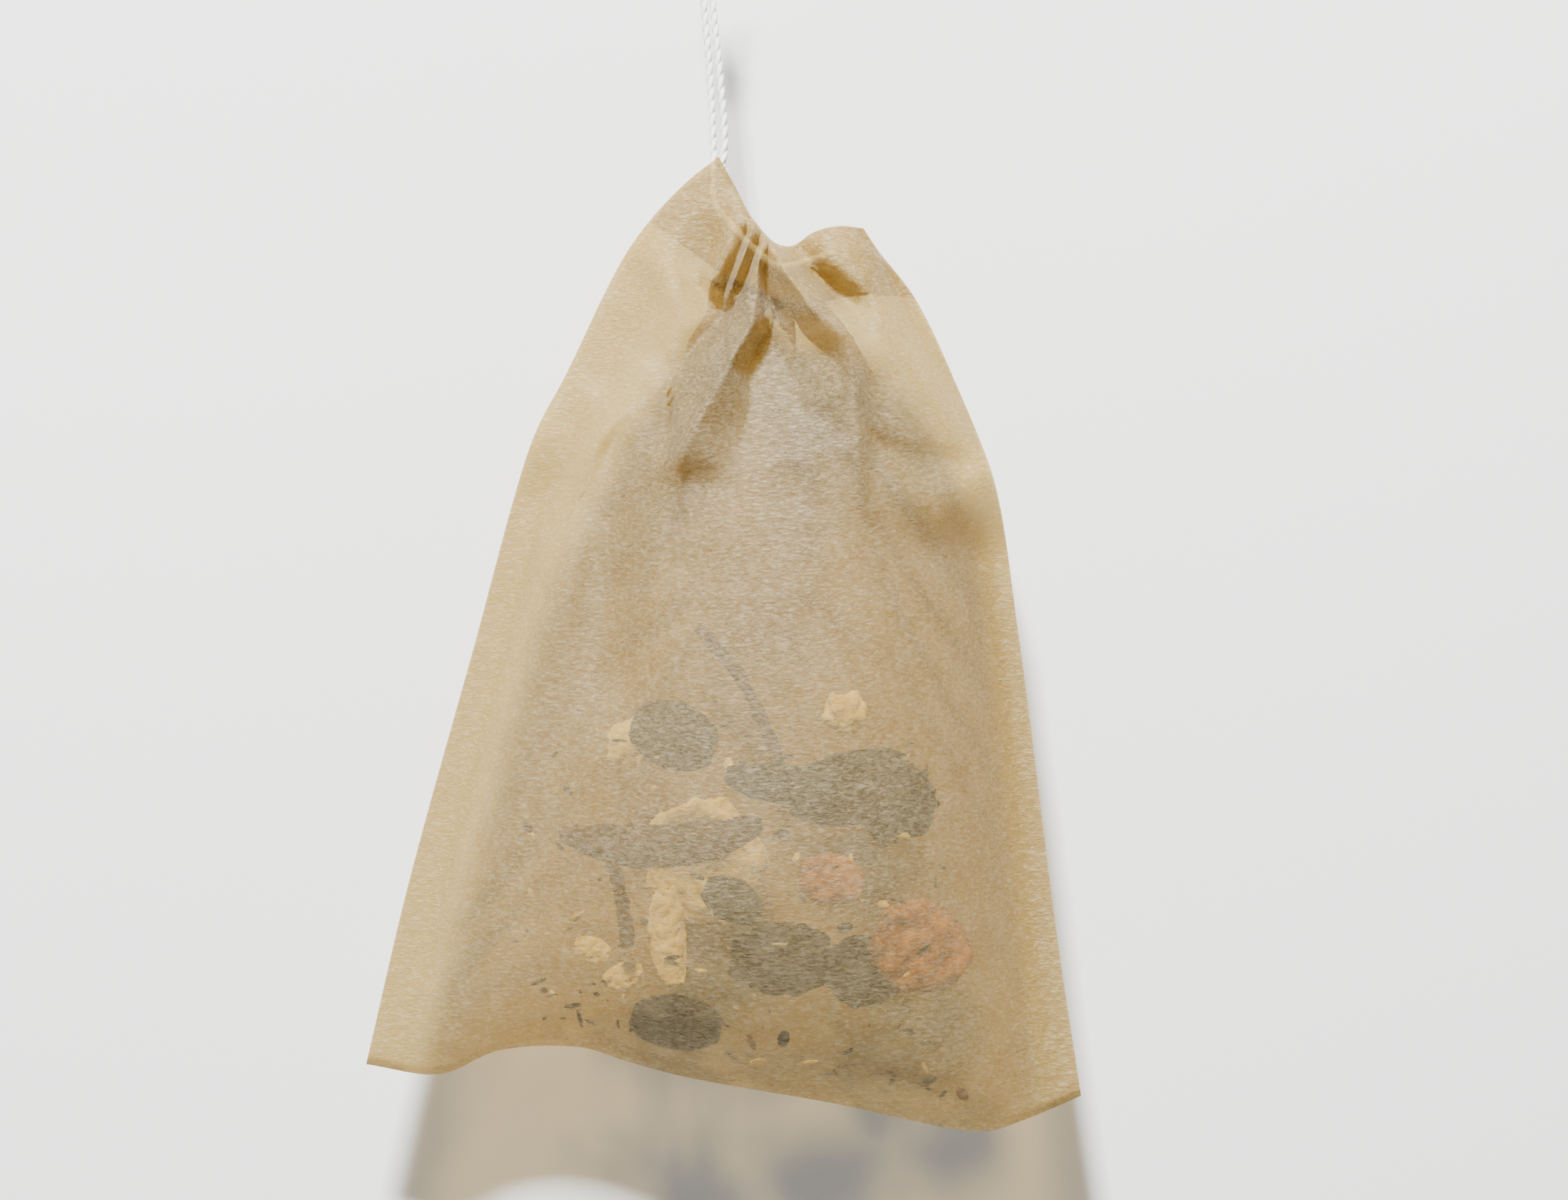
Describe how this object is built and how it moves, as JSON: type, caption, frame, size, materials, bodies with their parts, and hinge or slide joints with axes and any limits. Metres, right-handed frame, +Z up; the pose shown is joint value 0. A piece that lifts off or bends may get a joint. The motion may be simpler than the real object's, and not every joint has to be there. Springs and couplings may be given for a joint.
{
  "type": "drawstring tea filter bag",
  "caption": "Filled drawstring tea filter bag of thin unbleached filter paper, gathered shut at the mouth and hanging from its cotton string.",
  "frame": {"origin": "the knot that joins the two strands, where the bag hangs from", "axes": "+Z up along the strands, +X to the right of the front panel, front panel facing -Y, back panel facing +Y"},
  "size_m": [0.065, 0.0213, 0.1123],
  "materials": {
    "filter_paper": "unbleached, thin and soft, light shows through",
    "cotton": "white two-ply twisted string",
    "dried_leaf": "dry and matt",
    "dried_berry": "dry and wrinkled",
    "dried_petal": "dry and papery",
    "dried_peel": "dry, finely pitted",
    "dried_stalk": "dry, fibrous"
  },
  "bodies": {
    "root": {"filter_paper_bag": "filter_paper", "drawstring": "cotton", "string_knot": "cotton", "leaf_piece_1": "dried_leaf", "leaf_piece_2": "dried_leaf", "berry_1": "dried_berry", "flower_bud_1": "dried_petal", "bark_strip": "dried_stalk", "stalk_1": "dried_stalk", "leaf_piece_3": "dried_leaf", "petal_1": "dried_petal", "petal_2": "dried_petal", "petal_3": "dried_petal", "berry_2": "dried_berry", "peel_1": "dried_peel", "peel_2": "dried_peel", "leaf_piece_4": "dried_leaf", "flower_head": "dried_petal", "leaf_piece_5": "dried_leaf", "berry_3": "dried_berry", "flower_bud_2": "dried_petal", "stalk_2": "dried_stalk"}
  },
  "joints": []
}
